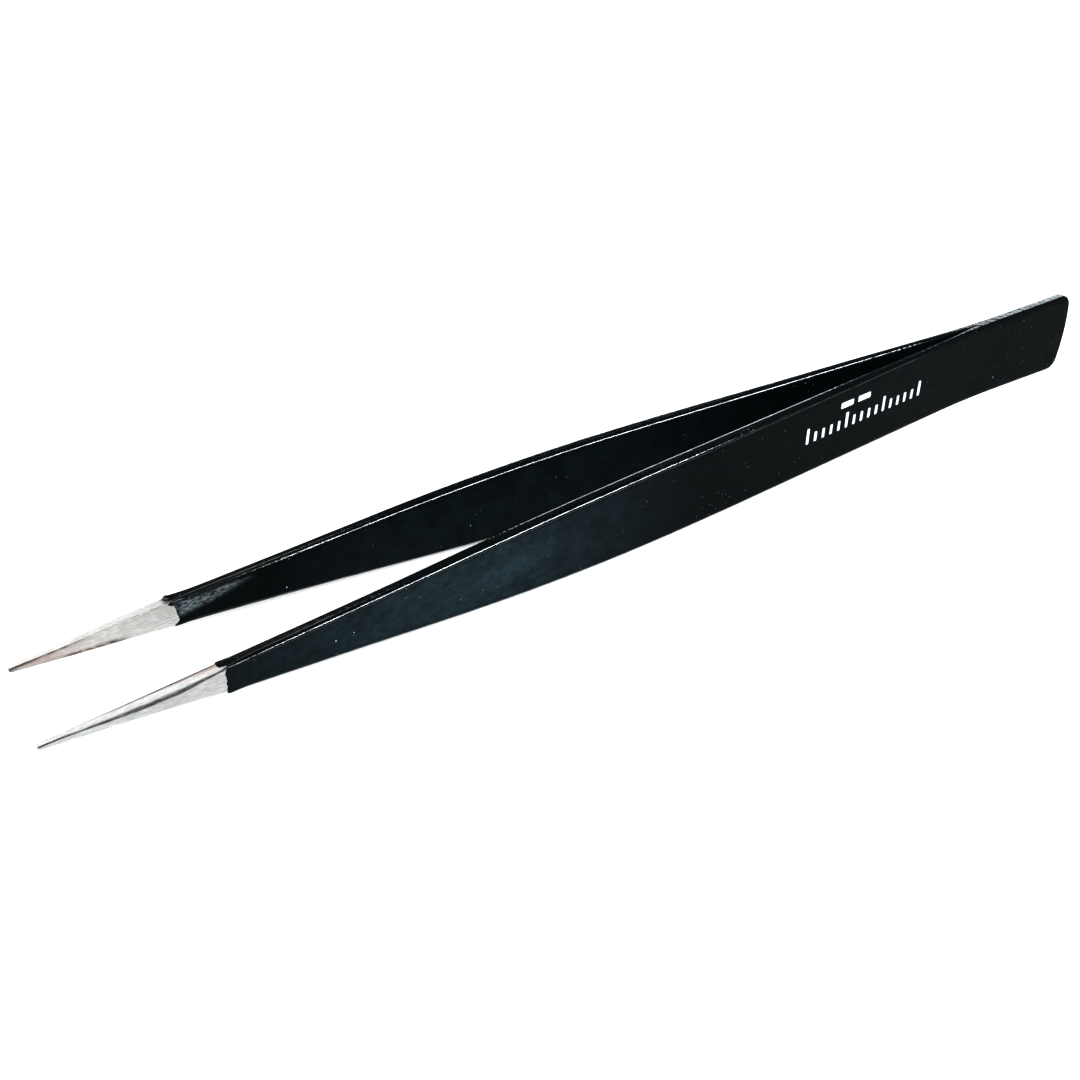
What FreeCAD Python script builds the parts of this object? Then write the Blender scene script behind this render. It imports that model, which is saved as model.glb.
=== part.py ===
import FreeCAD, Part
import Sketcher
import math
import os

# Coated spring-steel tweezers, lying on the narrow edges of both arms.
#
# Frame: +X runs from the points to the welded tail, +Z is up across the width of the arms, and the
# arms open along Y, the near arm on the -Y side. The origin is on the rest surface, under the
# middle of the bounding box. Places along the tool are measured from the points.
#
# Each arm is one stamped strip. Its outline is the blank seen from the side, its bends are seen
# from above, and both outlines are given for the coated faces: the steel lies one skin inside.
# The arms bend as springs, so each one is parted at the flex line into a tail piece, which the
# welds hold still, and a front piece, which swings.

SIZES = {
    # whole tool
    "overall_length": 130.0,
    "skin": 0.15,
    "edge_bevel": 0.12,
    "coat_line": 14.5,
    "flex_line": 105.8,
    # blank, seen from the side
    "tip_height": 3.45,
    "tip_width": 0.3,
    "shoulder_place": 48.7,
    "shoulder_width": 8.1,
    "shoulder_radius": 416.0,
    "tail_corner_place": 129.46,
    "tail_apex_place": 130.235,
    "tail_width": 10.1,
    "tail_corner_radius": 1.1,
    "tail_end_radius": 20.0,
    # bends, seen from above: the offset of each coated face from the middle plane
    "tip_inner": 5.34,
    "tip_outer": 5.88,
    "coat_line_outer": 6.48,
    "inner_bend_place": 44.5,
    "inner_bend": 4.69,
    "inner_bend_radius": 764.0,
    "outer_bend_place": 54.0,
    "outer_bend": 5.77,
    "outer_bend_radius": 591.0,
    "flex_inner": 0.41,
    "flex_outer": 1.34,
    "tail_bend_place": 112.35,
    "tail_bend_radius": 150.0,
    "tail_outer": 0.78,
    "plan_end": 131.0,
    # crotch, where the arms come together: first the coated faces, then the steel ones
    "crotch_bend_place": 109.1,
    "crotch_bend": 0.18,
    "crotch_radius": 160.0,
    "crotch_end_place": 112.4,
    "crotch_end": 0.08,
    "steel_crotch_place": 113.9,
    "steel_crotch_radius": 232.0,
    # spot welds
    "weld_place": 125.5,
    "weld_diameter": 3.0,
    "weld_thickness": 0.4,
    "low_weld_height": 3.2,
    "weld_spacing": 3.8,
    "weld_count": 2,
    # white print on the outer face of the near arm
    "print_thickness": 0.03,
    "print_start": 82.1,
    "tick_count": 16,
    "long_tick_every": 5,
    "tick_pitch": 1.3,
    "tick_width": 0.42,
    "tick_foot": 3.95,
    "short_tick": 1.2,
    "long_tick": 1.9,
    "dash_place": 89.2,
    "dash_count": 2,
    "dash_pitch": 2.9,
    "dash_length": 2.1,
    "dash_width": 0.7,
    "dash_foot": 6.6,
}
PAD_MARGIN = 2.0    # how far a pad or a pocket runs past the blank
NO_LENGTH = 0.001   # an edge shorter than this along X stands square to the tool

doc = FreeCAD.newDocument("tweezers")
sheet = doc.addObject("Spreadsheet::Sheet", "Sizes")
for row, (alias, value) in enumerate(SIZES.items(), start=1):
    sheet.set(f"A{row}", alias)
    sheet.set(f"B{row}", str(value))
    sheet.setAlias(f"B{row}", alias)
doc.recompute()


# ---------------------------------------------------------------- sketches and features

def along(place):
    """X of a place measured from the points, as an expression."""
    return f"{place} - Sizes.overall_length / 2"


def new_sketch(body, name, role):
    """Sketch on one of the body's own origin planes."""
    sketch = body.newObject("Sketcher::SketchObject", name)
    plane = next(item for item in body.Origin.OriginFeatures if item.Role == role)
    sketch.AttachmentSupport = [(plane, "")]
    sketch.MapMode = "FlatFace"
    return sketch


def bind(sketch, kind, name, geometry, point, expression):
    """Dimension from the sketch's origin, or a radius, driven by an expression."""
    value = float(sketch.evalExpression(expression))
    if kind == "Radius":
        sketch.addConstraint(Sketcher.Constraint(kind, geometry, value))
    else:
        sketch.addConstraint(Sketcher.Constraint(kind, geometry, point, value))
    index = sketch.ConstraintCount - 1
    sketch.renameConstraint(index, name)
    sketch.setExpression(f"Constraints.{name}", expression)


def add_outline(sketch, corners, prefix="corner"):
    """Closed outline of straight runs through the corners.

    A corner is (x, y) or (x, y, radius), each an expression. A corner with a radius is rounded by
    an arc tangent to both runs, and a construction point keeps the corner itself in its place.
    """
    points = []
    for corner in corners:
        x = float(sketch.evalExpression(corner[0]))
        y = float(sketch.evalExpression(corner[1]))
        points.append(FreeCAD.Vector(x, y, 0))
    count = len(corners)
    leaving = list(points)
    arriving = list(points)
    arcs = {}
    for index, corner in enumerate(corners):
        if len(corner) < 3:
            continue
        here = points[index]
        back = (points[index - 1] - here).normalize()
        ahead = (points[(index + 1) % count] - here).normalize()
        radius = float(sketch.evalExpression(corner[2]))
        half = back.getAngle(ahead) / 2
        tangent = radius / math.tan(half)
        arriving[index] = here + back * tangent
        leaving[index] = here + ahead * tangent
        centre = here + (back + ahead).normalize() * (radius / math.sin(half))
        turn_left = back.cross(ahead).z < 0
        first, last = arriving[index], leaving[index]
        if not turn_left:
            first, last = last, first
        start = math.atan2(first.y - centre.y, first.x - centre.x)
        end = math.atan2(last.y - centre.y, last.x - centre.x)
        circle = Part.Circle(centre, FreeCAD.Vector(0, 0, 1), radius)
        arcs[index] = (Part.ArcOfCircle(circle, start, end), turn_left)
    lines = []
    for index in range(count):
        following = (index + 1) % count
        segment = Part.LineSegment(leaving[index], arriving[following])
        lines.append(sketch.addGeometry(segment, False))
    for index, corner in enumerate(corners):
        before, after = lines[index - 1], lines[index]
        name = f"{prefix}_{index}"
        if index in arcs:
            arc, turn_left = arcs[index]
            curve = sketch.addGeometry(arc, False)
            arc_start, arc_end = (1, 2) if turn_left else (2, 1)
            sketch.addConstraint(Sketcher.Constraint("Tangent", before, 2, curve, arc_start))
            sketch.addConstraint(Sketcher.Constraint("Tangent", curve, arc_end, after, 1))
            marker = sketch.addGeometry(Part.Point(points[index]), True)
            sketch.addConstraint(Sketcher.Constraint("PointOnObject", marker, 1, before))
            sketch.addConstraint(Sketcher.Constraint("PointOnObject", marker, 1, after))
            bind(sketch, "Radius", f"{name}_radius", curve, 0, corner[2])
            place = marker
        else:
            sketch.addConstraint(Sketcher.Constraint("Coincident", before, 2, after, 1))
            place = after
        bind(sketch, "DistanceX", f"{name}_x", place, 1, corner[0])
        bind(sketch, "DistanceY", f"{name}_y", place, 1, corner[1])


def pad_plan(body, corners):
    """Outline seen from above, padded upwards past the widest part of the blank."""
    sketch = new_sketch(body, f"{body.Name}_plan", "XY_Plane")
    add_outline(sketch, corners)
    pad = body.newObject("PartDesign::Pad", f"{body.Name}_pad")
    pad.Profile = sketch
    pad.setExpression("Length", f"Sizes.tail_width + {PAD_MARGIN}")
    doc.recompute()
    return pad


def pocket_both_ways(body, sketch, name):
    """Pocket through the whole body on both sides of the sketch."""
    before = body.Shape.Volume
    pocket = body.newObject("PartDesign::Pocket", name)
    pocket.Profile = sketch
    pocket.SideType = "Symmetric"
    pocket.Type = "ThroughAll"
    doc.recompute()
    if not 0 < body.Shape.Volume < before:
        raise RuntimeError(f"{name} cut nothing")


def trim_to_blank(body, inset):
    """Cuts away all that lies outside the blank's outline, seen from the side."""
    sketch = new_sketch(body, f"{body.Name}_blank", "XZ_Plane")
    low = inset
    shoulder_top = f"Sizes.shoulder_width - {inset}"
    tail_top = f"Sizes.tail_width - {inset}"
    tail_corner = along(f"Sizes.tail_corner_place - {inset}")
    add_outline(sketch, [
        (along("0"), "Sizes.tip_height - Sizes.tip_width / 2"),
        (along("Sizes.shoulder_place"), low, "Sizes.shoulder_radius"),
        (tail_corner, low, f"Sizes.tail_corner_radius - {inset}"),
        (along(f"Sizes.tail_apex_place - {inset}"), "Sizes.tail_width / 2", "Sizes.tail_end_radius"),
        (tail_corner, tail_top, f"Sizes.tail_corner_radius - {inset}"),
        (along("Sizes.shoulder_place"), shoulder_top, "Sizes.shoulder_radius"),
        (along("0"), "Sizes.tip_height + Sizes.tip_width / 2"),
    ])
    waste_left = f"-Sizes.overall_length / 2 - {PAD_MARGIN}"
    waste_right = f"Sizes.overall_length / 2 + {PAD_MARGIN}"
    waste_top = f"Sizes.tail_width + 2 * {PAD_MARGIN}"
    add_outline(sketch, [
        (waste_left, f"-{PAD_MARGIN}"),
        (waste_right, f"-{PAD_MARGIN}"),
        (waste_right, waste_top),
        (waste_left, waste_top),
    ], prefix="waste")
    doc.recompute()
    pocket_both_ways(body, sketch, f"{body.Name}_trim")


def bevel_long_edges(body):
    """Bevels the edges that run along the body and round its tail end."""
    solid = body.Tip
    names = []
    for index, edge in enumerate(solid.Shape.Edges, start=1):
        if edge.BoundBox.XLength > NO_LENGTH:
            names.append(f"Edge{index}")
    bevel = body.newObject("PartDesign::Chamfer", f"{body.Name}_bevel")
    bevel.Base = (solid, names)
    bevel.setExpression("Size", "Sizes.edge_bevel")
    doc.recompute()


def mirror_across(source, label):
    """The other arm's copy of a sub-part, mirrored in the middle plane."""
    copy = doc.addObject("Part::Mirroring", label)
    copy.Source = source
    copy.Normal = FreeCAD.Vector(0, 1, 0)
    copy.Label = label
    return copy


def cut_from(base, tool, label):
    cut = doc.addObject("Part::Cut", label)
    cut.Base = base
    cut.Tool = tool
    cut.Label = label
    return cut


# ---------------------------------------------------------------- steel

def near_arm():
    """Front of the near arm: bare ground point, then the strip inside the coat."""
    body = doc.addObject("PartDesign::Body", "near_arm")
    skin = "Sizes.skin"
    pad_plan(body, [
        (along("0"), "-Sizes.tip_inner"),
        (along("0"), "-Sizes.tip_outer"),
        (along("Sizes.coat_line"), f"-Sizes.coat_line_outer + {skin}"),
        (along("Sizes.outer_bend_place"), f"-Sizes.outer_bend + {skin}", "Sizes.outer_bend_radius"),
        (along("Sizes.flex_line"), f"-Sizes.flex_outer + {skin}"),
        (along("Sizes.flex_line"), f"-Sizes.flex_inner - {skin}"),
        (along("Sizes.inner_bend_place"), f"-Sizes.inner_bend - {skin}", "Sizes.inner_bend_radius"),
    ])
    trim_to_blank(body, skin)
    return body


def near_arm_tail():
    """Tail of the near arm, with the seats of the weld nuggets in its inner face."""
    body = doc.addObject("PartDesign::Body", "near_arm_tail")
    skin = "Sizes.skin"
    pad_plan(body, [
        (along("Sizes.flex_line"), f"-Sizes.flex_outer + {skin}"),
        (along("Sizes.tail_bend_place"), f"-Sizes.tail_outer + {skin}", "Sizes.tail_bend_radius"),
        (along("Sizes.plan_end"), f"-Sizes.tail_outer + {skin}"),
        (along("Sizes.plan_end"), "0"),
        (along("Sizes.steel_crotch_place"), "0", "Sizes.steel_crotch_radius"),
        (along("Sizes.flex_line"), f"-Sizes.flex_inner - {skin}"),
    ])
    trim_to_blank(body, skin)
    sketch = new_sketch(body, "weld_seats", "XZ_Plane")
    for index in range(int(SIZES["weld_count"])):
        centre = FreeCAD.Vector(0, index, 0)
        circle = sketch.addGeometry(Part.Circle(centre, FreeCAD.Vector(0, 0, 1), 1.0), False)
        bind(sketch, "Radius", f"seat_{index}_radius", circle, 0, "Sizes.weld_diameter / 2")
        bind(sketch, "DistanceX", f"seat_{index}_x", circle, 3, along("Sizes.weld_place"))
        bind(sketch, "DistanceY", f"seat_{index}_y", circle, 3,
             f"Sizes.low_weld_height + {index} * Sizes.weld_spacing")
    doc.recompute()
    pocket = body.newObject("PartDesign::Pocket", "weld_seat_pocket")
    pocket.Profile = sketch
    pocket.SideType = "Symmetric"
    pocket.setExpression("Length", "Sizes.weld_thickness")
    doc.recompute()
    return body


def weld_nuggets():
    """The two spots where the arms are fused."""
    nuggets = []
    for index in range(int(SIZES["weld_count"])):
        nugget = doc.addObject("Part::Cylinder", f"nugget_{index}")
        nugget.setExpression("Radius", "Sizes.weld_diameter / 2")
        nugget.setExpression("Height", "Sizes.weld_thickness")
        nugget.Placement.Rotation = FreeCAD.Rotation(FreeCAD.Vector(1, 0, 0), -90)
        nugget.setExpression("Placement.Base.x", along("Sizes.weld_place"))
        nugget.setExpression("Placement.Base.y", "-Sizes.weld_thickness / 2")
        nugget.setExpression("Placement.Base.z",
                             f"Sizes.low_weld_height + {index} * Sizes.weld_spacing")
        nuggets.append(nugget)
    group = doc.addObject("Part::Compound", "weld_nuggets")
    group.Links = nuggets
    return group


# ---------------------------------------------------------------- coat

def near_coat(steel):
    """Sleeve of epoxy round the near arm, from the coat line to the flex line."""
    envelope = doc.addObject("PartDesign::Body", "near_coat_envelope")
    slope = "(Sizes.inner_bend - Sizes.tip_inner) / Sizes.inner_bend_place"
    pad_plan(envelope, [
        (along("Sizes.coat_line"), f"-Sizes.tip_inner - {slope} * Sizes.coat_line"),
        (along("Sizes.coat_line"), "-Sizes.coat_line_outer"),
        (along("Sizes.outer_bend_place"), "-Sizes.outer_bend", "Sizes.outer_bend_radius"),
        (along("Sizes.flex_line"), "-Sizes.flex_outer"),
        (along("Sizes.flex_line"), "-Sizes.flex_inner"),
        (along("Sizes.inner_bend_place"), "-Sizes.inner_bend", "Sizes.inner_bend_radius"),
    ])
    trim_to_blank(envelope, "0")
    bevel_long_edges(envelope)
    return cut_from(envelope, steel, "near_coat")


def tail_coat(steel_pieces):
    """Epoxy over both tails at once: it bridges the narrow end of the gap between them."""
    envelope = doc.addObject("PartDesign::Body", "tail_coat_envelope")
    one_side = [
        ("Sizes.crotch_end_place", "Sizes.crotch_end"),
        ("Sizes.crotch_bend_place", "Sizes.crotch_bend", "Sizes.crotch_radius"),
        ("Sizes.flex_line", "Sizes.flex_inner"),
        ("Sizes.flex_line", "Sizes.flex_outer"),
        ("Sizes.tail_bend_place", "Sizes.tail_outer", "Sizes.tail_bend_radius"),
        ("Sizes.plan_end", "Sizes.tail_outer"),
    ]
    near_side = [(along(place), f"-{offset}", *radius) for place, offset, *radius in one_side]
    far_side = [(along(place), offset, *radius) for place, offset, *radius in reversed(one_side)]
    pad_plan(envelope, near_side + far_side)
    trim_to_blank(envelope, "0")
    bevel_long_edges(envelope)
    tails = doc.addObject("Part::MultiFuse", "welded_tails")
    tails.Shapes = steel_pieces
    doc.recompute()
    return cut_from(envelope, tails, "tail_coat")


# ---------------------------------------------------------------- print

def printed_scale():
    """White print on the near arm: a row of plain ticks with two dashes over it."""
    group = doc.addObject("Part::Compound", "printed_scale")
    marks = []

    def add_mark(name, start, foot, length, height):
        mark = doc.addObject("Part::Box", name)
        mark.setExpression("Length", length)
        mark.setExpression("Width", "Sizes.print_thickness")
        mark.setExpression("Height", height)
        mark.setExpression("Placement.Base.x", f"Sizes.flex_line - ({start})")
        mark.setExpression("Placement.Base.z", foot)
        marks.append(mark)

    for index in range(int(SIZES["tick_count"])):
        is_long = index % int(SIZES["long_tick_every"]) == 0
        height = "Sizes.long_tick" if is_long else "Sizes.short_tick"
        start = f"Sizes.print_start + {index} * Sizes.tick_pitch"
        add_mark(f"tick_{index}", start, "Sizes.tick_foot", "Sizes.tick_width", height)
    for index in range(int(SIZES["dash_count"])):
        start = f"Sizes.dash_place + {index} * Sizes.dash_pitch"
        add_mark(f"dash_{index}", start, "Sizes.dash_foot", "Sizes.dash_length", "Sizes.dash_width")
    group.Links = marks
    rise = "(Sizes.outer_bend - Sizes.flex_outer)"
    run = "(Sizes.flex_line - Sizes.outer_bend_place)"
    # Each mark is drawn flat, then the group is turned onto the arm's slanted outer face.
    group.Placement.Rotation = FreeCAD.Rotation(FreeCAD.Vector(0, 0, 1), 180)
    group.setExpression("Placement.Rotation.Angle", f"180 deg + atan({rise} / {run})")
    group.setExpression("Placement.Base.x", along("Sizes.flex_line"))
    group.setExpression("Placement.Base.y", "-Sizes.flex_outer")
    return group


# ---------------------------------------------------------------- the tool

arm = near_arm()
arm_tail = near_arm_tail()
other_arm_tail = mirror_across(arm_tail, "far_arm_tail")
nuggets = weld_nuggets()
doc.recompute()
coat = near_coat(arm)
doc.recompute()
parts = [
    arm,
    arm_tail,
    coat,
    mirror_across(arm, "far_arm"),
    other_arm_tail,
    mirror_across(coat, "far_coat"),
    nuggets,
    tail_coat([arm_tail, other_arm_tail, nuggets]),
    printed_scale(),
]
doc.recompute()

for item in doc.Objects:
    if "Invalid" in item.State or "Error" in item.State:
        raise RuntimeError(f"{item.Label} failed: {item.State}")
for part in parts:
    if part.Shape.isNull() or not part.Shape.isValid():
        raise RuntimeError(f"{part.Label} has no valid shape")

os.makedirs("parts", exist_ok=True)
for part in parts:
    part.Shape.exportStep(f"parts/{part.Label}.step")
    box = part.Shape.BoundBox
    print(f"{part.Label}: {len(part.Shape.Solids)} solid(s), {part.Shape.Volume:.3f} mm3, "
          f"x {box.XMin:.3f}..{box.XMax:.3f}, y {box.YMin:.3f}..{box.YMax:.3f}, "
          f"z {box.ZMin:.3f}..{box.ZMax:.3f}")
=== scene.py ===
import bmesh
import bpy
import math
from mathutils import Matrix, Vector, noise


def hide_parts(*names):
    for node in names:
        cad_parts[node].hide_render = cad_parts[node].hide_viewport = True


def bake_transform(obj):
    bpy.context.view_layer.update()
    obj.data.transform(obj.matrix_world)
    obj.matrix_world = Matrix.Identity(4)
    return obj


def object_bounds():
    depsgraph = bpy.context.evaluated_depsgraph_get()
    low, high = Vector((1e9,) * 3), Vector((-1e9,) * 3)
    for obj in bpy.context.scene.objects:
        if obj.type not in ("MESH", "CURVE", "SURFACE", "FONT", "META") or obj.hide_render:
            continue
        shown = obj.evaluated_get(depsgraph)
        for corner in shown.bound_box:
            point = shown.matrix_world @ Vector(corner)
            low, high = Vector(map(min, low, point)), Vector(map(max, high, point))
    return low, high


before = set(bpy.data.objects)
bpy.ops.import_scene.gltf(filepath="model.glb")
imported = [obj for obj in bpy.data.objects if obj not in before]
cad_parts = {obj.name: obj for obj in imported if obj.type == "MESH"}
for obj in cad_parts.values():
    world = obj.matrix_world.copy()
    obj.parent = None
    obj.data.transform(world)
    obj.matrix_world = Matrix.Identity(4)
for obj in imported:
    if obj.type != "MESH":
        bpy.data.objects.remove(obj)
cad_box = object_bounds()

# Coated spring-steel tweezers. Lengths below are in millimetres, and a place along the tool, s, is
# measured from the points towards the tail. An offset is measured from the middle plane between
# the arms to a face of one arm, so both arms share every number and differ only in their side.
# TIP_X is in metres, as the scene is.
MM = 0.001
TIP_X = cad_box[0].x
TIP = TIP_X / MM
LENGTH = (cad_box[1].x - cad_box[0].x) / MM
WIDEST, TALLEST = cad_box[1].y / MM, cad_box[1].z / MM      # the coat is clamped within these
NEAR, FAR = -1, 1

# Outlines as corners: place, value, and half the length of the bend that rounds the corner.
COAT_INNER = [(0, 5.34, 0), (44.5, 4.69, 20.9), (111.6, 0.0, 5.8), (LENGTH, 0.0, 0)]
COAT_OUTER = [(0, 6.74, 0), (54.0, 5.77, 20.0), (112.35, 0.78, 6.4), (LENGTH, 0.78, 0)]
COAT_LOW = [(0, 3.30, 0), (48.7, 0.0, 14.1), (LENGTH, 0.0, 0)]
COAT_TOP = [(0, 3.60, 0), (48.7, 8.10, 14.1), (LENGTH, 10.10, 0)]
STEEL_INNER = [(0, 5.34, 0), (44.5, 4.84, 20.9), (113.9, 0.05, 8.0), (LENGTH, 0.05, 0)]
STEEL_OUTER = [
    (0, 5.88, 0), (14.5, 6.33, 0.8), (54.0, 5.62, 20.0), (112.35, 0.63, 6.4), (LENGTH, 0.63, 0),
]
STEEL_LOW = [(0, 3.30, 0), (48.7, 0.15, 14.1), (LENGTH, 0.15, 0)]
STEEL_TOP = [(0, 3.60, 0), (48.7, 7.95, 14.1), (LENGTH, 9.96, 0)]

COAT_LINE = 14.5            # the coat starts about here
SKIN = 0.15                 # thickness of the coat
CROTCH_END = 112.4          # behind this the epoxy bridges the gap between the arms
STEEL_END = LENGTH - 0.16   # the coat closes over the steel here
TAIL_END_RADIUS = 20.0      # of the tail's bulged end
TAIL_CORNER = 1.1           # radius of the tail's upper and lower corners


# ---------------------------------------------------------------- outlines

def follow(corners, s):
    """Value at s of a line through corners, each rounded over its half length."""
    value = None
    for (s0, v0, _), (s1, v1, _) in zip(corners, corners[1:]):
        if s <= s1 or s1 == corners[-1][0]:
            value = v0 + (v1 - v0) * (s - s0) / (s1 - s0)
            break
    for before, corner, after in zip(corners, corners[1:], corners[2:]):
        place, level, half = corner
        if half and abs(s - place) < half:
            slope_in = (level - before[1]) / (place - before[0])
            slope_out = (after[1] - level) / (after[0] - place)
            reach = half - abs(s - place)
            value += (slope_out - slope_in) * reach * reach / (4 * half)
    return value


def ease(value, start, end):
    """0 at start, 1 at end, smooth between them."""
    t = min(max((value - start) / (end - start), 0.0), 1.0)
    return t * t * (3 - 2 * t)


def band(value, start, full, fading, end):
    """0 up to start, 1 from full to fading, and 0 again from end on."""
    return ease(value, start, full) * (1 - ease(value, fading, end))


def spot(value, centre, width):
    """1 at the centre, falling off smoothly on both sides."""
    return math.exp(-((value - centre) / width) ** 2)


def quarter_round(part):
    """Rises like a quarter circle from 0 at part 0 to 1 at part 1 and beyond."""
    return math.sqrt(max(1 - (1 - min(part, 1.0)) ** 2, 0.0))


def wobble(*place):
    """Repeatable noise from -1 to 1."""
    x, y, z = (list(place) + [0.0, 0.0])[:3]
    return noise.noise(Vector((x, y, z)))


# ---------------------------------------------------------------- one cross-section

# A point's turn says which side of the section it is on: 0 to 1 is the lower edge from inner to
# outer, then come the outer face, the upper edge and the inner face. A corner takes up 0.1 turn.
CORNER_BEGIN, CORNER_TURN = 0.95, 0.1
SIDE_BEGIN, SIDE_TURN = 1.05, 0.9
CORNER_STEPS, EDGE_STEPS, FACE_STEPS = 5, 6, 16


def corner_arc(number, centre, width, height, roundness):
    """Points (offset, height, turn) round one corner. Roundness 1 is an arc and 0 a flat bevel."""
    centre_q, centre_z = centre
    begin = -math.pi / 2 + number * math.pi / 2
    end = begin + math.pi / 2
    first = (centre_q + width * math.cos(begin), centre_z + height * math.sin(begin))
    last = (centre_q + width * math.cos(end), centre_z + height * math.sin(end))
    arc = []
    for step in range(CORNER_STEPS + 1):
        part = step / CORNER_STEPS
        angle = begin + part * math.pi / 2
        round_q = centre_q + width * math.cos(angle)
        round_z = centre_z + height * math.sin(angle)
        flat_q = first[0] + (last[0] - first[0]) * part
        flat_z = first[1] + (last[1] - first[1]) * part
        q = flat_q + (round_q - flat_q) * roundness
        z = flat_z + (round_z - flat_z) * roundness
        arc.append((q, z, number + CORNER_BEGIN + CORNER_TURN * part))
    return arc


def section(inner, outer, low, top, corners):
    """Closed ring of (offset, height, turn) that starts in the middle of the lower edge.

    corners holds (width, height, roundness) for lower outer, upper outer, upper inner and lower
    inner.
    """
    places = [(outer, low, 1, -1), (outer, top, 1, 1), (inner, top, -1, 1), (inner, low, -1, -1)]
    arcs = []
    for number, (place, corner) in enumerate(zip(places, corners)):
        q, z, side, rise = place
        width, height, roundness = corner
        centre = (q - side * width, z - rise * height)
        arcs.append(corner_arc(number, centre, width, height, roundness))
    ring = []
    for number, arc in enumerate(arcs):
        ring.extend(arc)
        start, end = arc[-1], arcs[(number + 1) % 4][0]
        steps = EDGE_STEPS if number % 2 else FACE_STEPS
        for step in range(1, steps):
            part = step / steps
            q = start[0] + (end[0] - start[0]) * part
            z = start[1] + (end[1] - start[1]) * part
            ring.append((q, z, number + SIDE_BEGIN + SIDE_TURN * part))
    half_edge = EDGE_STEPS // 2
    ring = ring[-half_edge:] + ring[:-half_edge]
    return [(q, z, turn % 4) for q, z, turn in ring]


def on_inner_face(turn):
    """1 on the inner face, 0 on the upper edge and the outer face."""
    return ease(turn, 2.97, 3.01)


def on_top(turn):
    """1 on the upper edge, 0 on the two faces."""
    return ease(turn, 1.97, 2.03) * (1 - on_inner_face(turn))


# ---------------------------------------------------------------- sweeps

STEEL_CREASE, COAT_CREASE = math.radians(24), math.radians(40)


def cap(first, count):
    """Faces across a ring that starts at index first, pairing each vertex with its opposite."""
    faces = []
    for k in range(count // 2):
        a, b = first + k, first + k + 1
        c, d = first + (count - k - 1) % count, first + (count - k) % count
        corners = [a, b, c, d]
        unique = [v for n, v in enumerate(corners) if v not in corners[:n]]
        if len(unique) > 2:
            faces.append(unique)
    return faces


def join(first, second, count):
    """Faces between two rings of count vertices that start at the given indices."""
    faces = []
    for k in range(count):
        ahead = (k + 1) % count
        faces.append((first + k, first + ahead, second + ahead, second + k))
    return faces


def tube(first, rings, count):
    """Faces along a sweep of rings whose vertices start at index first."""
    faces = []
    for ring in range(rings - 1):
        base = first + ring * count
        faces += join(base, base + count, count)
    return faces


def build(name, points, faces, marks=None, crease=STEEL_CREASE):
    """Mesh piece from points in millimetres, with sharp edges where it turns by more than crease.

    marks holds a value for every point under each attribute's name.
    """
    mesh = bpy.data.meshes.new(name)
    mesh.from_pydata([(x * MM, y * MM, z * MM) for x, y, z in points], [], faces)
    mesh.validate()
    for key, values in (marks or {}).items():
        layer = mesh.attributes.new(key, "FLOAT", "POINT")
        layer.data.foreach_set("value", values)
    piece = bpy.data.objects.new(name, mesh)
    bpy.context.collection.objects.link(piece)
    work = bmesh.new()
    work.from_mesh(mesh)
    bmesh.ops.recalc_face_normals(work, faces=work.faces)
    work.to_mesh(mesh)
    work.free()
    mesh.shade_smooth()
    mesh.set_sharp_from_angle(angle=crease)
    return piece


def tail_place(s, z):
    """Place of a station at height z: the last stations curve into the bulged tail end."""
    middle = follow(COAT_TOP, LENGTH) / 2
    bulge = (z - middle) ** 2 / (2 * TAIL_END_RADIUS)
    return s - bulge * ease(s, LENGTH - 5.0, LENGTH)


def end_round(s, radius, end):
    """How far a face draws in towards the tail end, to round it with that radius."""
    past = s - (end - radius)
    if past <= 0:
        return 0.0
    return radius - math.sqrt(max(radius * radius - min(past, radius) ** 2, 0.0))


def tail_stations(end, start):
    """Stations up to the tail end, close together where its corners are rounded."""
    spacing, corner_steps = 0.8, 8
    places = []
    s = start
    while s < end - TAIL_CORNER:
        places.append(s)
        s += spacing
    for step in range(corner_steps + 1):
        angle = step / corner_steps * math.pi / 2
        places.append(end - TAIL_CORNER + TAIL_CORNER * math.sin(angle))
    return places


# ---------------------------------------------------------------- steel arms

POINT_ROUND, POINT_REACH = 0.1, 0.2     # how far the very point draws in, and over what length
BURIED = 0.012                          # how far the strip lies below the inside of its coat
BELLY = 0.11                            # how far the bare points hang below the outline
CREST = 0.12                            # how far the far point rises above the outline
STEEL_BACK_ROUND = 0.2                  # radius on the outer face at the strip's hidden end
COVERED_CORNER = 0.1                    # size of the strip's corners under the coat
STEEL_CORNER_MOST = 0.4                 # share of a side that one of its corners may take up


def steel_stations():
    """Stations of an arm, close together along the bare point."""
    stations = [0.0, 0.04, 0.1, 0.2]
    while stations[-1] < 17.5:
        stations.append(stations[-1] + 0.3)
    while stations[-1] < STEEL_END - 6:
        stations.append(stations[-1] + 1.5)
    return stations + tail_stations(STEEL_END, stations[-1] + 1.0)


def steel_sides(side, s):
    """Where the steel's inner face, outer face, low edge and top edge are at s."""
    blunt = POINT_ROUND * (1 - quarter_round(s / POINT_REACH))
    buried = BURIED * ease(s, COAT_LINE + 0.6, COAT_LINE + 1.6)
    in_tail = end_round(s, TAIL_CORNER, STEEL_END)
    belly = BELLY * (1 - ease(s, 4.0, 13.0))
    inner = follow(STEEL_INNER, s) + blunt + buried
    outer = follow(STEEL_OUTER, s) - blunt - buried - end_round(s, STEEL_BACK_ROUND, STEEL_END)
    low = follow(STEEL_LOW, s) + blunt + buried + in_tail - belly
    top = follow(STEEL_TOP, s) - blunt - buried - in_tail
    if side == FAR:
        top += CREST * band(s, 5.0, 9.0, 13.2, 14.4)
    return inner, outer, low, top


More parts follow.
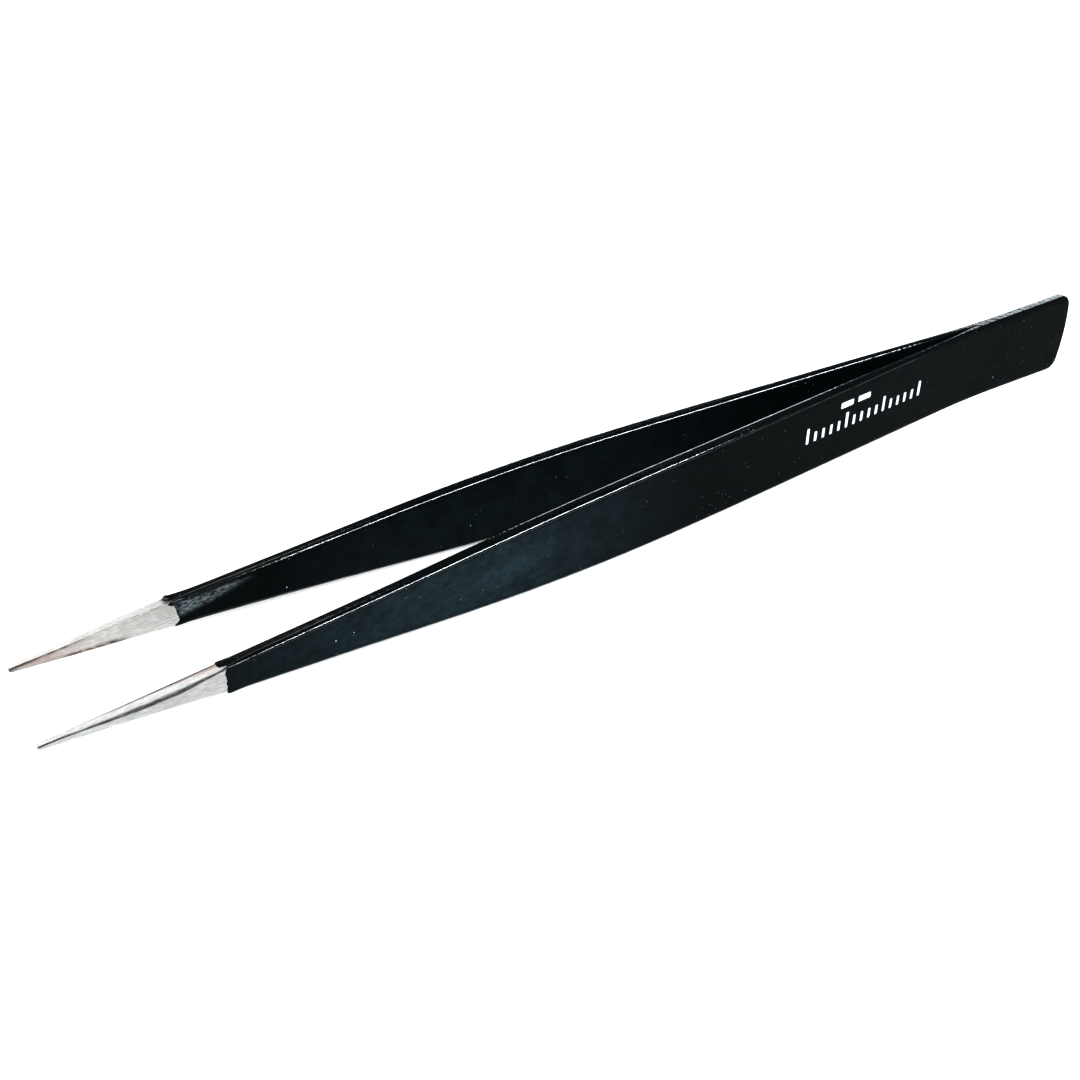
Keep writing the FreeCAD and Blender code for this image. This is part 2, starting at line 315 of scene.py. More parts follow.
def ground_corners(side, s, thick, wide):
    """The bare point is ground to steep bevels outside, and the near one is rounded inside."""
    bare = 1 - ease(s, 14.2, 15.8)
    ramp = ease(s, 0.0, 6.0)
    steep_drop = 0.14 + 0.10 * ramp + 0.42 * band(s, 1.5, 9.5, 10.5, 14.8)
    lower_outer = (0.12 + 0.18 * ramp, 0.10 + 0.14 * ramp, 0.2)
    upper_outer = (0.06, steep_drop, 0.05)
    upper_inner = (0.05, 0.04, 0.9)
    lower_inner = (0.05, 0.05, 0.5)
    if side == NEAR:
        upper_inner = (0.10 + 0.22 * ease(s, 2.0, 8.0), 0.13, 0.9)
    widest, tallest = STEEL_CORNER_MOST * thick, STEEL_CORNER_MOST * wide
    corners = []
    for width, height, roundness in (lower_outer, upper_outer, upper_inner, lower_inner):
        width = COVERED_CORNER + (width - COVERED_CORNER) * bare
        height = COVERED_CORNER + (height - COVERED_CORNER) * bare
        corners.append((min(width, widest), min(height, tallest), roundness))
    return corners


def steel_arm(name, side):
    """One whole arm: bare ground point, strip under the coat and welded tail."""
    stations = steel_stations()
    points = []
    marks = {"stain": [], "bevel_shade_and_dark_point": [], "side_shade": [], "tint_and_shade": [], "polish": []}
    for s in stations:
        inner, outer, low, top = steel_sides(side, s)
        corners = ground_corners(side, s, outer - inner, top - low)
        for q, z, turn in section(inner, outer, low, top, corners):
            points.append((TIP + tail_place(s, z), side * q, z))
            rise = (z - low) / max(top - low, 0.01)
            marks["stain"].append(tip_stain(side, s, turn, rise))
            marks["bevel_shade_and_dark_point"].append(tip_bevel_shade_and_dark_point(side, s, turn, rise))
            marks["side_shade"].append(tip_side_shade(turn))
            marks["tint_and_shade"].append(tip_tint_and_shade(side, s, turn))
            marks["polish"].append(on_top(turn))
    count = len(points) // len(stations)
    faces = tube(0, len(stations), count)
    faces += cap(0, count) + cap((len(stations) - 1) * count, count)
    return build(name, points, faces, marks)


# Marks on the bare steel, each 0 where there is none; some of them are painted shade. rise is 0 at a
# section's foot and 1 at its top.

def tip_stain(side, s, turn, rise):
    """Where grinding has left brown heat marks: along the edges of the inner face."""
    if side == FAR:
        patches = 1.3 * spot(s, 8.2, 1.5) + 1.4 * spot(s, 5.6, 1.4)
        along_low = spot(rise, 0.05, 0.16) * patches
        along_top = 1.3 * spot(rise, 0.95, 0.12) * (1 - ease(s, 3.0, 7.5))
        return min(on_inner_face(turn) * (along_low + along_top), 1.0)
    brown = 0.25 + 0.75 * ease(s, 6.0, 9.0) * (1 - 0.7 * ease(s, 11.5, 13.0))
    return spot(turn, 2.99, 0.035) * brown * (1 - ease(s, 13.0, 14.2))


def tip_bevel_shade_and_dark_point(side, s, turn, rise):
    """Painted shade on the steep bevel along the upper outer edge, and darker steel at the far arm's
    very point.
    """
    bevel = band(turn, 1.90, 1.94, 1.99, 2.025)
    if side == NEAR:
        return bevel
    above = ease(rise, 0.45, 0.75) + 0.7 * (1 - ease(s, 0.2, 0.9))
    return max(bevel, on_inner_face(turn) * min(above, 1.0) * (1 - ease(s, 0.9, 2.9)))


def tip_side_shade(turn):
    """Painted shade by side: the outer face is darkest, then the upper edge, then the inner face."""
    outside = ease(turn, 0.97, 1.03) * (1 - 0.55 * ease(turn, 2.99, 3.03))
    return outside * (1 - 0.3 * on_top(turn))


def tip_tint_and_shade(side, s, turn):
    """Faint warm darkening on the far arm's inner face and the near arm's outer face, and painted
    shade across the near arm's upper edge, widening from its inner corner.
    """
    if side == FAR:
        return on_inner_face(turn) * (0.24 + 0.7 * (1 - ease(s, 2.5, 8.0)))
    # painted shade across the near arm's upper edge, spreading from its inner corner
    edge = 2.96 - 0.42 * ease(s, 8.0, 15.0)
    widening = 0.9 * band(turn, edge - 0.03, edge + 0.03, 3.05, 3.1)
    on_face = 0.22 * band(turn, 1.05, 1.3, 1.88, 1.94)
    return widening + on_face * ease(s, 6.5, 11.0)


# ---------------------------------------------------------------- coat

# The coat's ragged front edge, as (turn, place) round each arm.
NEAR_LINE = [
    (0.0, 14.50), (0.5, 14.62), (1.0, 14.66), (1.4, 14.76), (1.8, 14.80), (1.98, 14.95), (2.08, 14.98),
    (2.22, 15.00), (2.29, 14.66), (2.36, 14.42), (2.5, 14.34), (2.95, 14.32), (3.02, 14.50),
    (3.5, 14.50), (4.0, 14.55),
]
FAR_LINE = [
    (0.0, 13.9), (0.5, 13.8), (1.0, 14.0), (1.5, 14.1), (1.97, 13.9), (2.12, 13.45), (2.25, 13.32),
    (2.42, 13.42), (2.60, 14.10), (2.90, 14.20), (3.02, 13.62), (3.08, 13.60), (3.15, 14.10),
    (3.4, 14.22), (3.65, 14.26), (3.82, 14.34), (3.93, 14.00), (4.0, 13.75),
]
# How far behind the coat's start its first stations are.
FRONT_GAPS = [0.0, 0.015, 0.04, 0.08, 0.13, 0.2, 0.32, 0.5, 0.75, 1.1, 1.6, 2.3, 3.2]
FRONT_ROUND = 0.13                      # over this length the front edge swells to full thickness
RAGGED_REACH = 3.4                      # over this length the rings straighten behind the edge
THINNEST_FACE, THINNEST_EDGE = 0.05, 0.08       # the coat is nowhere thinner than this
COAT_BACK_ROUND = 0.3                   # radius on the outer face at the tail end
COAT_CORNER_MOST = 0.48                 # share of the thickness that a corner may take up


def coat_line(side, turn):
    """Place of the coat's ragged front edge, round the arm."""
    knots = NEAR_LINE if side == NEAR else FAR_LINE
    for (t0, s0), (t1, s1) in zip(knots, knots[1:]):
        if turn <= t1:
            place = s0 + (s1 - s0) * (turn - t0) / (t1 - t0)
            break
    return place + 0.08 * wobble(turn * 9, side * 3.7) + 0.07 * wobble(turn * 31, side)


def coat_stations():
    """Stations of the coat, close together at its front edge."""
    stations = [COAT_LINE + gap for gap in FRONT_GAPS]
    while stations[-1] < 100:
        stations.append(stations[-1] + 0.6)
    while stations[-1] < LENGTH - 5:
        stations.append(stations[-1] + 0.3)
    return stations + tail_stations(LENGTH, stations[-1] + 0.4)


def coat_sides(s, gap, end, outside):
    """Inner, outer, low and top of the coat: its inside on the steel, its outside clear of it."""
    steel = [follow(edge, s) for edge in (STEEL_INNER, STEEL_OUTER, STEEL_LOW, STEEL_TOP)]
    inner, outer, low, top = steel
    if outside:
        still_open = 1 - ease(s, CROTCH_END - 0.3, CROTCH_END + 0.5)
        full = [
            min(follow(COAT_INNER, s) * still_open, inner - THINNEST_FACE),
            follow(COAT_OUTER, s),
            min(follow(COAT_LOW, s), low - THINNEST_EDGE),
            max(follow(COAT_TOP, s), top + THINNEST_EDGE),
        ]
        swell = quarter_round(gap / FRONT_ROUND)
        inner, outer, low, top = [bare + (over - bare) * swell for bare, over in zip(steel, full)]
    in_tail = end_round(s, TAIL_CORNER, end)
    outer -= end_round(s, COAT_BACK_ROUND if outside else SKIN, end)
    return inner, outer, low + in_tail, top - in_tail


def coat_corners(s, gap, thick, outside):
    """Corner sizes: small at the front edge, tall at the tail, none where the arms touch."""
    closing = 1 - ease(s, 106, 113)
    if outside:
        full = 0.16 + 0.26 * ease(gap, 0.0, 1.8)
        tail = ease(s, 96, 116)
        width, height = full - 0.04 * tail, full + 0.38 * tail
        inner_height = full * closing
    else:
        width, height = 0.14, 0.15
        inner_height = 0.12 * closing
    widest = COAT_CORNER_MOST * thick
    outer_corner = (min(width, widest), height, 1)
    inner_corner = (min(inner_height, widest), inner_height, 1)
    return [outer_corner, outer_corner, inner_corner, inner_corner]


def coat_ring(side, s, outside):
    """One ring of the coat: (place, offset, height, turn)."""
    gap = s - COAT_LINE
    end = LENGTH - (0.0 if outside else SKIN)
    s = min(s, end)
    inner, outer, low, top = coat_sides(s, gap, end, outside)
    corners = coat_corners(s, gap, outer - inner, outside)
    ring = []
    for q, z, turn in section(inner, outer, low, top, corners):
        place = s + (coat_line(side, turn) - COAT_LINE) * (1 - ease(gap, 0.0, RAGGED_REACH))
        if outside:
            q, z = uneven(side, place, q, z, turn, (inner, outer, low, top))
        ring.append((tail_place(place, z), q, z, turn))
    return ring


def uneven(side, s, q, z, turn, sides):
    """Sprayed epoxy is not quite even: it dips a little everywhere, and beads at its front edge."""
    inner, outer, low, top = sides
    dip = 0.010 * (0.5 + 0.5 * wobble(s * 0.45, turn * 2.2, side * 5.0))
    dip += 0.006 * (0.5 + 0.5 * wobble(s * 1.6, turn * 5.0, side * 9.0))
    if side == FAR:
        bead = 0.26 * spot(s, 13.72, 0.26) * spot(turn, 2.28, 0.24)
    else:
        bead = 0.07 * spot(s, 14.1, 0.3) * spot(turn, 2.8, 0.22)
    push = bead - dip
    out_q = max(min((q - (inner + outer) / 2) / max((outer - inner) / 2, 0.01), 1), -1)
    out_z = max(min((z - (low + top) / 2) / max((top - low) / 2, 0.01), 1), -1)
    arms_close = s > CROTCH_END - 2
    if arms_close and out_q < 0:
        out_q = 0.0
    return q + push * out_q ** 3, z + push * out_z ** 9


def coat_skin(name, side):
    """The epoxy over one arm, from its ragged front edge to the tail end, as a closed shell."""
    stations = coat_stations()
    points = []
    marks = {"scuff": [], "gloss": [], "face_sheen": []}
    for outside in (True, False):
        for s in stations:
            ring = coat_ring(side, s, outside)
            for place, q, z, turn in ring:
                points.append((TIP + place, side * min(q, WIDEST), min(max(z, 0.0), TALLEST)))
                marks["scuff"].append(scuffed(side, place, turn))
                marks["gloss"].append(edge_gloss(side, place, turn))
                marks["face_sheen"].append(painted_face_sheen(side, place, turn))
    count = len(ring)
    inside = len(stations) * count
    last = inside - count
    faces = tube(0, len(stations), count) + tube(inside, len(stations), count)
    faces += join(0, inside, count)
    faces += cap(last, count) + cap(inside + last, count)
    return build(name, points, faces, marks, COAT_CREASE)


# Marks on the coat, each 0 where there is none. The face sheen is painted light.

def scuffed(side, s, turn):
    """Handling marks on the coat: a pale patch inside the far arm, behind its front edge."""
    if side == NEAR:
        return 0.0
    lower_end = 3.78 - 0.075 * (s - 14.0)
    return band(turn, 3.02, 3.10, lower_end - 0.25, lower_end) * band(s, 13.8, 14.8, 18.5, 22.5)


def painted_face_sheen(side, s, turn):
    """Painted sheen on the faces, bluish and lighter, strongest ahead of the middle."""
    if side == FAR:
        return 0.3 * band(turn, 3.0, 3.1, 3.9, 4.0) * band(s, 20.0, 36.0, 55.0, 85.0)
    along = (0.35 + 0.6 * ease(s, 16.0, 32.0)) * (1 - ease(s, 38.0, 68.0))
    patch = 0.6 * spot(s, 42.0, 3.2) * spot(turn, 1.5, 0.17)
    return band(turn, 1.0, 1.1, 1.9, 2.0) * along + patch


def edge_gloss(side, s, turn):
    """The narrow edges, where the epoxy draws thin and smooth, and the far arm's front bead."""
    bead = 0.0
    if side == FAR:
        bead = spot(s, 13.75, 0.4) * spot(turn, 2.3, 0.3)
    reach = 0.515 - 0.07 * ease(s, 98.0, 110.0)
    from_lower, from_upper = abs((turn + 0.5) % 4 - 1.0), abs(turn - 2.5)
    lower = 1 - ease(from_lower, reach, reach + 0.035)
    upper = 1 - ease(from_upper, reach, reach + 0.035)
    flat_top = 1 - ease(from_upper, 0.38, 0.44)
    upper *= 1 - 0.9 * flat_top * (1 - ease(s, 18.0, 30.0))
    return max((lower + upper) * (0.45 + 0.55 * ease(s, 14.0, 24.0)), bead)


# ---------------------------------------------------------------- print

TICK_START, TICK_PITCH, TICK_COUNT, LONG_TICK_EVERY = 82.1, 1.3, 16, 5
TICK_WIDTH, TICK_FOOT, SHORT_TICK, LONG_TICK = 0.42, 3.95, 1.2, 1.9
DASH_START, DASH_PITCH, DASH_COUNT = 89.2, 2.9, 2
DASH_LENGTH, DASH_WIDTH, DASH_FOOT = 2.1, 0.7, 6.6
INK_LIFTS = (0.02, -0.02)       # top and foot of the ink, the foot inside the coat
INK_CORNER, INK_WAVER = 0.12, 0.02
MEAN_DIP = 0.008                # how much lower the uneven coat lies than its outline


def ink_patch(start, foot, length, height, points, faces):
    """A thin solid patch of ink with softened corners, laid on the near arm's outer face."""
    outline = []
    radius = min(INK_CORNER, length / 3, height / 3)
    for cx, cz, begin in ((length, 0, -90), (length, height, 0), (0, height, 90), (0, 0, 180)):
        inside_x = cx - radius if cx else radius
        inside_z = cz - radius if cz else radius
        for step in range(4):
            angle = math.radians(begin + 30 * step)
            outline.append((inside_x + radius * math.cos(angle), inside_z + radius * math.sin(angle)))
    first = len(points)
    for lift in INK_LIFTS:
        for along, up in outline:
            s, z = start - length + along, foot + up
            s += INK_WAVER * wobble(s * 5, z * 5)
            z += INK_WAVER * wobble(s * 5, z * 5, 4.0)
            surface = follow(COAT_OUTER, s) - MEAN_DIP
            points.append((TIP + s, -(surface + lift), z))
    count = len(outline)
    faces.append([first + k for k in range(count)])
    faces.append([first + count + k for k in reversed(range(count))])
    faces.extend(join(first, first + count, count))


def printed_marks(name):
    """White print: plain ticks with two dashes over them, in place of any lettering."""
    points, faces = [], []
    for index in range(TICK_COUNT):
        height = SHORT_TICK if index % LONG_TICK_EVERY else LONG_TICK
        ink_patch(TICK_START + index * TICK_PITCH, TICK_FOOT, TICK_WIDTH, height, points, faces)
    for index in range(DASH_COUNT):
        ink_patch(DASH_START + index * DASH_PITCH, DASH_FOOT, DASH_LENGTH, DASH_WIDTH, points, faces)
    return build(name, points, faces)


# ---------------------------------------------------------------- materials

# Pattern scales are per metre, and bump distances are in metres.
WHITE = (1, 1, 1, 1)


class Nodes:
    """Short way to write a material's node tree."""

    def __init__(self, name):
        self.material = bpy.data.materials.new(name)
        self.material.use_nodes = True
        self.tree = self.material.node_tree
        self.shader = self.tree.nodes["Principled BSDF"]

    def add(self, kind, inputs=None, **settings):
        node = self.tree.nodes.new(kind)
        for key, value in settings.items():
            setattr(node, key, value)
        for key, value in (inputs or {}).items():
            self.put(node.inputs[key], value)
        return node

    def put(self, socket, value):
        if isinstance(value, bpy.types.NodeSocket):
            self.tree.links.new(value, socket)
        else:
            socket.default_value = value

    def noise(self, vector, scale, detail=3.0, roughness=0.55):
        inputs = {"Vector": vector, "Scale": scale, "Detail": detail, "Roughness": roughness}
        return self.add("ShaderNodeTexNoise", inputs).outputs["Fac"]

    def remap(self, value, low, high, new_low, new_high):
        inputs = {"Value": value, "From Min": low, "From Max": high}
        inputs.update({"To Min": new_low, "To Max": new_high})
        return self.add("ShaderNodeMapRange", inputs).outputs["Result"]

    def math(self, operation, a, b):
        node = self.add("ShaderNodeMath", operation=operation)
        self.put(node.inputs[0], a)
        self.put(node.inputs[1], b)
        return node.outputs[0]

    def mix(self, factor, a, b):
        node = self.add("ShaderNodeMix", data_type="RGBA")
        self.put(node.inputs["Factor"], factor)
        self.put(node.inputs[6], a)
        self.put(node.inputs[7], b)
        return node.outputs[2]

    def attribute(self, name):
        return self.add("ShaderNodeAttribute", attribute_name=name).outputs["Fac"]

    def position(self, scale=(1, 1, 1), turn=(0, 0, 0)):
        coordinates = self.add("ShaderNodeTexCoord").outputs["Object"]
        inputs = {"Vector": coordinates, "Scale": scale, "Rotation": turn}
        return self.add("ShaderNodeMapping", inputs).outputs[0]

    def specks(self, vector, scale, size, share):
        """White dots of one size, gathered in loose groups; share is how many cells hold one."""
        cells = self.add("ShaderNodeTexVoronoi", {"Vector": vector, "Scale": scale})
        dots = self.remap(cells.outputs["Distance"], size, 1.5 * size, 1.0, 0.0)
        chance = self.add("ShaderNodeSeparateColor", {"Color": cells.outputs["Color"]}).outputs[0]
        crowd = self.remap(self.noise(vector, scale / 8, 2.0), 0.35, 0.65, -0.3, 0.3)
        chosen = self.remap(self.math("ADD", chance, crowd), 1 - share, 1.03 - share, 0.0, 1.0)
        return self.math("MULTIPLY", dots, chosen)

    def bump(self, height, strength, distance, normal=None):
        inputs = {"Height": height, "Strength": strength, "Distance": distance}
        if normal is not None:
            inputs["Normal"] = normal
        return self.add("ShaderNodeBump", inputs).outputs["Normal"]


def coat_colour(n, mottle, scuff):
    """Near black, with faint mottling, a painted bluish sheen, pale scuffs and dust."""
    deep_black, soft_black = (0.0006, 0.0014, 0.0016, 1), (0.0011, 0.0026, 0.0031, 1)
    sheen_blue = (0.0180, 0.0320, 0.0385, 1)
    scuff_grey = (0.150, 0.175, 0.185, 1)
    dust_white = (0.55, 0.6, 0.62, 1)
    here = n.position()
    colour = n.mix(n.remap(mottle, 0.35, 0.65, 0.0, 1.0), deep_black, soft_black)

    # painted sheen: the faces lightened towards blue, strongest ahead of the middle
    smears = n.noise(n.position((0.6, 1, 1), (0, 0.5, 0)), 1700, 5.0, 0.75)
    smears = n.remap(smears, 0.3, 0.7, 0.5, 1.3)
    sheen = n.math("MULTIPLY", smears, n.remap(mottle, 0.25, 0.75, 0.4, 1.0))
    colour = n.mix(n.math("MULTIPLY", n.attribute("face_sheen"), sheen), colour, sheen_blue)
    colour = n.mix(scuff, colour, scuff_grey)

    fine_dust = n.math("MULTIPLY", n.specks(here, 1700, 0.07, 0.2), 0.3)
    dust = n.math("MAXIMUM", n.specks(here, 520, 0.026, 0.2), fine_dust)
    return n.mix(n.math("MULTIPLY", dust, 0.9), colour, dust_white)


def coat_material():
    """Satin black epoxy with fine orange peel, and a clear gloss where it runs thin."""
    n = Nodes("satin_epoxy")
    here = n.position()
    mottle = n.noise(here, 420, 4.0, 0.6)
    gloss = n.attribute("gloss")
    scuff_grain = n.noise(n.position((0.3, 1, 1), (0, 0.10, 0)), 7000, 4.0, 0.75)
    scuff = n.math("MULTIPLY", n.attribute("scuff"), n.remap(scuff_grain, 0.40, 0.62, 0.0, 1.0))
    n.put(n.shader.inputs["Base Color"], coat_colour(n, mottle, scuff))

    rough = n.math("ADD", n.remap(mottle, 0.3, 0.7, 0.50, 0.62), n.math("MULTIPLY", scuff, 0.1))
    rough = n.math("SUBTRACT", rough, n.math("MULTIPLY", gloss, 0.34))
    n.put(n.shader.inputs["Roughness"], rough)
    n.shader.inputs["IOR"].default_value = 1.13

    breaks = n.remap(n.noise(n.position((0.5, 1, 1)), 1100, 3.0, 0.7), 0.36, 0.52, 0.5, 1.0)
    n.put(n.shader.inputs["Coat Weight"], n.math("MULTIPLY", gloss, breaks))
    n.shader.inputs["Coat Roughness"].default_value = 0.11
    n.shader.inputs["Coat IOR"].default_value = 1.75

    peel = n.noise(here, 1500, 2.0, 0.5)
    grain = n.noise(here, 5200, 2.0, 0.6)
    ripple = n.bump(peel, n.remap(gloss, 0.0, 1.0, 0.12, 0.6), 0.00006)
    n.put(n.shader.inputs["Coat Normal"], ripple)
    n.put(n.shader.inputs["Normal"], n.bump(grain, 0.3, 0.000004, ripple))
    return n.material


def steel_colour(n, stroke, stain):
    """Bright steel with darker strokes, then each kind of mark over it, painted shade among them, the
    darkened bevel last.
    """
    dark_stroke, bright_stroke = (0.46, 0.455, 0.45, 1), (0.84, 0.835, 0.83, 1)
    cloud_tint = (0.62, 0.575, 0.545, 1)
    side_shade_grey = (0.10, 0.098, 0.092, 1)
    tint_and_shade_colour = (0.36, 0.295, 0.265, 1)
    stain_brown = (0.105, 0.068, 0.052, 1)
    shade_and_dark_point_black = (0.055, 0.050, 0.047, 1)
    colour = n.mix(n.remap(stroke, 0.38, 0.58, 0.0, 1.0), dark_stroke, bright_stroke)
    cloud = n.noise(n.position(), 700, 3.0, 0.6)
    colour = n.mix(n.remap(cloud, 0.42, 0.68, 0.0, 0.4), colour, cloud_tint)
    # painted shade: the bare outer face is darkened, the upper edge less, the inner face least
    colour = n.mix(n.math("MULTIPLY", n.attribute("side_shade"), 0.42), colour, side_shade_grey)
    # warm darkening, and painted shade on the near arm's upper edge
    tint_and_shade = n.math("MULTIPLY", n.attribute("tint_and_shade"), n.remap(stroke, 0.36, 0.60, 1.25, 0.75))
    colour = n.mix(tint_and_shade, colour, tint_and_shade_colour)
    colour = n.mix(stain, colour, stain_brown)
    # painted shade on the steep bevel, and darker steel at the far arm's very point
    bevel_shade_and_dark_point = n.math("MULTIPLY", n.attribute("bevel_shade_and_dark_point"), n.remap(stroke, 0.36, 0.60, 1.12, 0.72))
    return n.mix(n.math("MINIMUM", bevel_shade_and_dark_point, 1.0), colour, shade_and_dark_point_black)


def steel_material():
    """Ground stainless steel: fine slanting grinding marks, smoother on the upper edge."""
    n = Nodes("ground_steel")
    strokes = n.position((0.12, 1, 1), (0, 0.62, 0))
    lines = n.noise(strokes, 12000, 3.0, 0.75)
    broad = n.noise(strokes, 4200, 3.0, 0.65)
    stroke = n.math("ADD", n.math("MULTIPLY", broad, 0.4), n.math("MULTIPLY", lines, 0.6))
    streaks = n.noise(n.position((0.35, 1, 1), (0, 0.08, 0)), 5200, 4.0, 0.75)
    stain = n.math("MULTIPLY", n.attribute("stain"), n.remap(streaks, 0.34, 0.62, 0.15, 1.35))
    stain = n.math("MINIMUM", stain, 1.0)
    n.put(n.shader.inputs["Base Color"], steel_colour(n, stroke, stain))
    n.shader.inputs["Metallic"].default_value = 1.0

    polish = n.attribute("polish")
    rough = n.math("ADD", n.remap(lines, 0.3, 0.7, 0.22, 0.38), n.math("MULTIPLY", stain, 0.12))
    rough = n.math("SUBTRACT", rough, n.math("MULTIPLY", polish, 0.06))
    n.put(n.shader.inputs["Roughness"], rough)

    normal = n.bump(lines, n.remap(polish, 0.0, 1.0, 0.5, 0.1), 0.000008)
    normal = n.bump(broad, n.remap(polish, 0.0, 1.0, 0.25, 0.12), 0.000010, normal)
    n.put(n.shader.inputs["Normal"], normal)
    return n.material


def ink_material():
    """White screen-print ink, slightly thin in places."""
    thin_ink, full_ink = (0.62, 0.68, 0.70, 1), (0.93, 0.96, 0.97, 1)
    n = Nodes("white_ink")
    patchy = n.noise(n.position(), 3800, 3.0, 0.6)
    colour = n.mix(n.remap(patchy, 0.35, 0.6, 0.0, 1.0), thin_ink, full_ink)
    n.put(n.shader.inputs["Base Color"], colour)
    n.shader.inputs["Roughness"].default_value = 0.5
    n.put(n.shader.inputs["Normal"], n.bump(patchy, 0.3, 0.000008))
    return n.material


def weld_material():
    """Fused steel, darker than the ground points."""
    dark_weld, bright_weld = (0.32, 0.30, 0.28, 1), (0.55, 0.52, 0.50, 1)
    n = Nodes("weld_steel")
    cloud = n.noise(n.position(), 2500, 4.0, 0.6)
    n.put(n.shader.inputs["Base Color"], n.mix(cloud, dark_weld, bright_weld))
    n.shader.inputs["Metallic"].default_value = 1.0
    n.put(n.shader.inputs["Roughness"], n.remap(cloud, 0.3, 0.7, 0.4, 0.6))
    return n.material


def floor_material():
    """White light table: its own faint glow keeps the shadows pale, and grows beyond the lights."""
    grey_patch, pale_patch = (0.86, 0.86, 0.86, 1), (0.88, 0.88, 0.88, 1)
    n = Nodes("pale_floor")
    cloud = n.noise(n.position(), 8.0, 2.0, 0.5)
    n.put(n.shader.inputs["Base Color"], n.mix(cloud, grey_patch, pale_patch))
    n.shader.inputs["Roughness"].default_value = 0.8
    n.shader.inputs["Specular IOR Level"].default_value = 0.2
    n.shader.inputs["Emission Color"].default_value = WHITE
    away = n.add("ShaderNodeVectorMath", {0: n.position()}, operation="LENGTH").outputs["Value"]
    n.put(n.shader.inputs["Emission Strength"], n.remap(away, 0.55, 1.6, 0.35, 1.0))
    return n.material


def backdrop_material():
    """Plain glowing white."""
    n = Nodes("pale_backdrop")
    n.shader.inputs["Base Color"].default_value = (0, 0, 0, 1)
    n.shader.inputs["Specular IOR Level"].default_value = 0.0
    n.shader.inputs["Emission Color"].default_value = WHITE
    n.shader.inputs["Emission Strength"].default_value = 1.0
    return n.material


# ---------------------------------------------------------------- pieces

def flex_with(piece):
    """Bakes the piece's placement into its mesh."""
    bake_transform(piece)


steel, epoxy, ink = steel_material(), coat_material(), ink_material()
for side, arm in ((NEAR, "near_arm"), (FAR, "far_arm")):
    strip = steel_arm(f"{arm}_steel", side)
    strip.data.materials.append(steel)
    flex_with(strip)
    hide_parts(arm, f"{arm}_tail")
    skin = coat_skin(f"{arm}_epoxy", side)
    skin.data.materials.append(epoxy)
    flex_with(skin)
    if side == NEAR:
        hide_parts("near_coat", "tail_coat")
    else:
        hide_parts("far_coat")

marks = printed_marks("white_print")
marks.data.materials.append(ink)
flex_with(marks)
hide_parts("printed_scale")

weld = weld_material()
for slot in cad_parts["weld_nuggets"].material_slots:
    slot.material = weld


# ---------------------------------------------------------------- stage, light and camera

# From here on, lengths are in metres and angles in degrees.
FLOOR_HALF, FLOOR_DROP = 3.0, 0.00002
WALL_RADIUS, WALL_HEIGHT, WALL_DROP, WALL_STEPS = 2.9, 3.0, 0.01, 64
ROOM_COLOUR, ROOM_STRENGTH = (0.95, 1.0, 1.05, 1), 0.06
NEUTRAL, COOL, COOLER = (1, 1, 1), (0.86, 0.96, 1.0), (0.84, 0.95, 1.0)
# Name, azimuth, elevation, distance, width, height, radiance and colour of each light. The key
# draws the bright lines along the edges of the coat.
LIGHTS = [
    ("key", -62.5, 38, 1.0, 0.69, 0.11, 58, COOL),
    ("back_left", 125, 42, 1.2, 1.44, 1.0, 1.9, NEUTRAL),
    ("fill", 215, 42, 1.3, 1.0, 1.0, 4.0, NEUTRAL),
    ("low_back", 58, 11, 1.0, 0.38, 0.28, 5.0, COOLER),
    ("tail_edge", 30.5, 18, 1.0, 0.2, 0.17, 3.2, COOL),
]
CAMERA_PLACE = (-0.06551, -0.07985, 0.06181)
CAMERA_YAW, CAMERA_PITCH, CAMERA_ROLL = 31.853, 32.686, -1.299
CAMERA_LENS, CAMERA_SENSOR = 37.06, 36.0        # both in the camera's own millimetres
CAMERA_NEAREST, CAMERA_FURTHEST = 0.005, 20.0
VIEW_GAMMA = 0.8


def plain_mesh(name, points, faces, material):
    mesh = bpy.data.meshes.new(name)
    mesh.from_pydata(points, [], faces)
    plain = bpy.data.objects.new(name, mesh)
    plain.data.materials.append(material)
    bpy.context.collection.objects.link(plain)
    return plain


def pale_floor():
    size = FLOOR_HALF
    low = cad_box[0].z - FLOOR_DROP
    corners = [(-size, -size, low), (size, -size, low), (size, size, low), (-size, size, low)]
    floor = plain_mesh("floor", corners, [(0, 1, 2, 3)], floor_material())


def pale_backdrop():
    """A round wall far outside the lights. Only the camera sees it, so it lights nothing."""
    low = cad_box[0].z - WALL_DROP
    points = []
    for z in (low, low + WALL_HEIGHT):
        for step in range(WALL_STEPS):
            angle = 2 * math.pi * step / WALL_STEPS
            points.append((WALL_RADIUS * math.cos(angle), WALL_RADIUS * math.sin(angle), z))
    wall = plain_mesh("backdrop", points, tube(0, 2, WALL_STEPS), backdrop_material())
    wall.visible_diffuse = False
    wall.visible_glossy = False
    wall.visible_transmission = False
    wall.visible_shadow = False


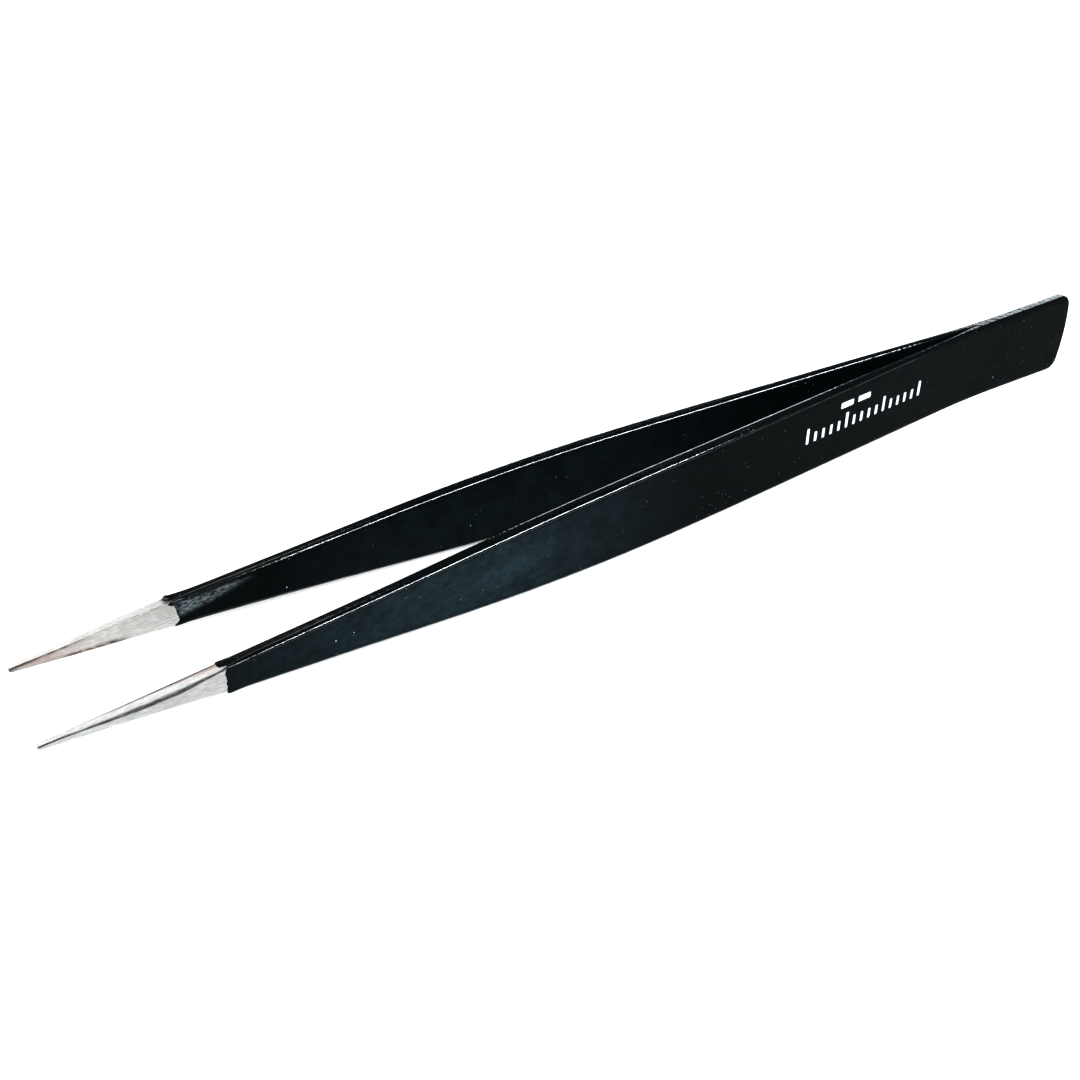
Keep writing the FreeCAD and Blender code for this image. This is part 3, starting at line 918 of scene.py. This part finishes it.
def direction(azimuth, elevation):
    """Unit vector towards a compass point (0 is +X, the tail's way; 90 is the far side)."""
    around, above = math.radians(azimuth), math.radians(elevation)
    level = math.cos(above)
    return Vector((math.cos(around) * level, math.sin(around) * level, math.sin(above)))


def softbox(name, azimuth, elevation, distance, width, height, radiance, colour):
    """Evenly glowing panel that faces the tweezers from the given direction."""
    light = bpy.data.lights.new(name, "AREA")
    light.color = colour
    light.shape = "RECTANGLE"
    light.size, light.size_y = width, height
    light.energy = radiance * math.pi * width * height
    lamp = bpy.data.objects.new(name, light)
    place = direction(azimuth, elevation) * distance
    lamp.location = place
    lamp.rotation_euler = (-place).to_track_quat("-Z", "Y").to_euler()
    bpy.context.collection.objects.link(lamp)


def studio_world():
    """Dim, even room light."""
    world = bpy.data.worlds.new("studio")
    bpy.context.scene.world = world
    world.use_nodes = True
    background = world.node_tree.nodes["Background"]
    background.inputs["Color"].default_value = ROOM_COLOUR
    background.inputs["Strength"].default_value = ROOM_STRENGTH


def main_camera():
    """Camera on the near side, over the points, looking along and down the tool."""
    yaw, pitch = math.radians(CAMERA_YAW), math.radians(CAMERA_PITCH)
    roll = math.radians(CAMERA_ROLL)
    flat = math.cos(pitch)
    ahead = Vector((math.sin(yaw) * flat, math.cos(yaw) * flat, -math.sin(pitch)))
    level = Vector((math.cos(yaw), -math.sin(yaw), 0))
    over = level.cross(ahead)
    right = level * math.cos(roll) + over * math.sin(roll)
    up = over * math.cos(roll) - level * math.sin(roll)
    data = bpy.data.cameras.new("camera")
    data.sensor_width = CAMERA_SENSOR
    data.lens = CAMERA_LENS
    data.clip_start, data.clip_end = CAMERA_NEAREST, CAMERA_FURTHEST
    camera = bpy.data.objects.new("camera", data)
    turn = Matrix((right, up, -ahead)).transposed().to_4x4()
    camera.matrix_world = Matrix.Translation(Vector(CAMERA_PLACE)) @ turn
    bpy.context.collection.objects.link(camera)
    bpy.context.scene.camera = camera


pale_floor()
pale_backdrop()
studio_world()
for light in LIGHTS:
    softbox(*light)
main_camera()
bpy.context.scene.view_settings.view_transform = "Standard"
bpy.context.scene.view_settings.gamma = VIEW_GAMMA
